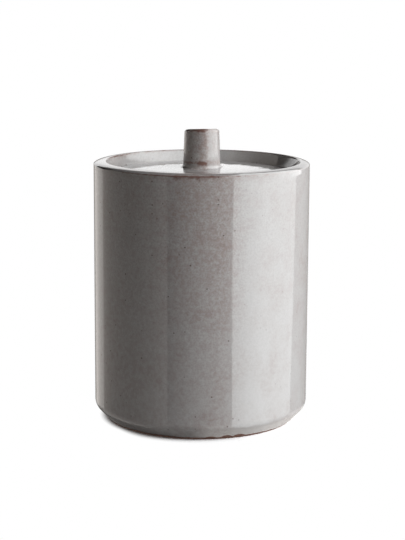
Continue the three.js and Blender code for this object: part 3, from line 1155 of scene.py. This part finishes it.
# The dome's height falls from its crown with the radius, as (radius / foot's radius)^power.
dome_share = np.linspace(1, 0, DOME_POINTS)[1:]
dome_height = lid_edge_top + LID_RISE * (1 - dome_share**DOME_POWER)
dome = np.stack([dome_foot * dome_share, dome_height], axis=-1)
lid_outline = np.concatenate([rounded_outline(lid_corners), dome])
lid_grid = turned(lid_outline, LID_SIDES)
lid_grid = worked_by_hand(lid_grid, outline_normals(lid_outline), [LID_RIPPLES], LID_SEED)
lid = turned_object("domed_lid", lid_grid, grey_glaze)
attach(lid, "lid")
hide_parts("lid_plate")

LID_EDGES = [(LID_RADIUS - 0.5 * MM, lid_edge_top - 0.5 * MM, 1.2 * MM, 0.9)]
low_enough = lid_outline[:, 1] < SEAT_TOP + LID_BARE_HEIGHT
outside_hollow = lid_outline[:, 0] > hollow_radius - LID_BARE_MARGIN
spread_attribute(lid, lid_grid, "thin_glaze_and_shade", thin_along(lid_outline, LID_EDGES)[:, None])
spread_attribute(lid, lid_grid, "grain", 1.0)
spread_attribute(lid, lid_grid, "bare", (low_enough & outside_hollow)[:, None])
print("Lid:", len(lid.data.polygons), "faces")

# %% [markdown]
# The knob is a short peg, luted on with slip. It widens a little downwards and flares out at its foot,
# where glaze runs onto the lid. Its top slants, as if it were cut with a wire. A tilted peg would lean, so
# only the height of its points is changed, fully at the top and not at all at the foot.

# %% Knob
KNOB_SIDES = 160
KNOB_SEED = 21
KNOB_TOP_RADIUS = 9.6 * MM
KNOB_FOOT_RADIUS = 10.5 * MM
KNOB_TOP_ROUND = 1.7 * MM
KNOB_TOP_SPARE = 0.05 * MM
KNOB_FLARE_EDGE = 0.05 * MM
KNOB_ROOT = 0.3 * MM
KNOB_TOP_RISE_TO_FRONT = 2.1 * MM
KNOB_TOP_RISE_TO_RIGHT = 0.3 * MM
KNOB_STEP = 0.8 * MM
KNOB_WAVES = (0.02 * MM, 12 * MM, 40 * MM)

front_slope = KNOB_TOP_RISE_TO_FRONT / (2 * KNOB_TOP_RADIUS)
right_slope = KNOB_TOP_RISE_TO_RIGHT / (2 * KNOB_TOP_RADIUS)
top_rise = math.hypot(front_slope, right_slope) * (KNOB_TOP_RADIUS - KNOB_TOP_ROUND)
knob_level_top = KNOB_TOP - top_rise - KNOB_TOP_SPARE
knob_corners = [
    (0, LID_CROWN - KNOB_ROOT),
    (KNOB_FLARE_RADIUS, LID_CROWN - KNOB_ROOT),
    (KNOB_FLARE_RADIUS, LID_CROWN),
    (KNOB_FOOT_RADIUS, LID_CROWN, KNOB_FLARE_RADIUS - KNOB_FOOT_RADIUS - KNOB_FLARE_EDGE),
    (KNOB_TOP_RADIUS, knob_level_top, KNOB_TOP_ROUND),
    (0, knob_level_top),
]
knob_outline = rounded_outline(knob_corners, KNOB_STEP)
knob_grid = turned(knob_outline, KNOB_SIDES)
knob_grid = worked_by_hand(knob_grid, outline_normals(knob_outline), [KNOB_WAVES], KNOB_SEED)
slant_share = np.clip((knob_grid[..., 2] - LID_CROWN) / (knob_level_top - LID_CROWN), 0, 1)
knob_grid[..., 2] += slant_share * (right_slope * knob_grid[..., 0] - front_slope * knob_grid[..., 1])
knob = turned_object("peg_knob", knob_grid, grey_glaze)
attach(knob, "lid")
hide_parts("lid_knob")
print("Knob:", len(knob.data.polygons), "faces")

# %% [markdown]
# On the knob's top edge the glaze broke to brown, and a brown band runs round it just above its foot,
# where the slip was smoothed. These are two edges for the same function that served the jar. The knob is
# brownest and grainiest at its front, less so at its left and least at its right, where its edges are
# fainter
# too: painted shade on the side away from the light, and a painted sheen where the soft box is mirrored.

# %% Knob: thickness of the glaze, painted shade and sheen
KNOB_BAND_HEIGHT = 3.1 * MM
KNOB_EDGES = [
    (KNOB_TOP_RADIUS - 0.3 * MM, knob_level_top - 0.5 * MM, 1.2 * MM, 0.75),
    (KNOB_FOOT_RADIUS, LID_CROWN + KNOB_BAND_HEIGHT, 1.0 * MM, 0.52),
]
# Levels by azimuth paint shade at the front and left, and a sheen from where the soft box is mirrored.
KNOB_AZIMUTHS = [-120, -40, 13, 25, 110, 150]
KNOB_EDGE_AND_SHADE_LEVELS = [0.9, 1.1, 1.0, 0.65, 0.65, 0.9]
KNOB_GRAIN_AND_SHEEN_LEVELS = [1.0, 1.2, 1.3, 0.45, 0.45, 1.0]
KNOB_THIN_AND_SHADE_LEVELS = [0.2, 0.34, 0.45, 0.06, 0.06, 0.2]

knob_azimuth = azimuth_of(knob_grid)
knob_edges = thin_along(knob_outline, KNOB_EDGES)[:, None]
knob_thin_and_shade = knob_edges * np.interp(knob_azimuth, KNOB_AZIMUTHS, KNOB_EDGE_AND_SHADE_LEVELS)
knob_thin_and_shade += np.interp(knob_azimuth, KNOB_AZIMUTHS, KNOB_THIN_AND_SHADE_LEVELS)
spread_attribute(knob, knob_grid, "thin_glaze_and_shade", knob_thin_and_shade)
spread_attribute(knob, knob_grid, "grain", np.interp(knob_azimuth, KNOB_AZIMUTHS, KNOB_GRAIN_AND_SHEEN_LEVELS))
print("Thinness on the knob from", round(knob_thin_and_shade.min(), 2), "to", round(knob_thin_and_shade.max(), 2))
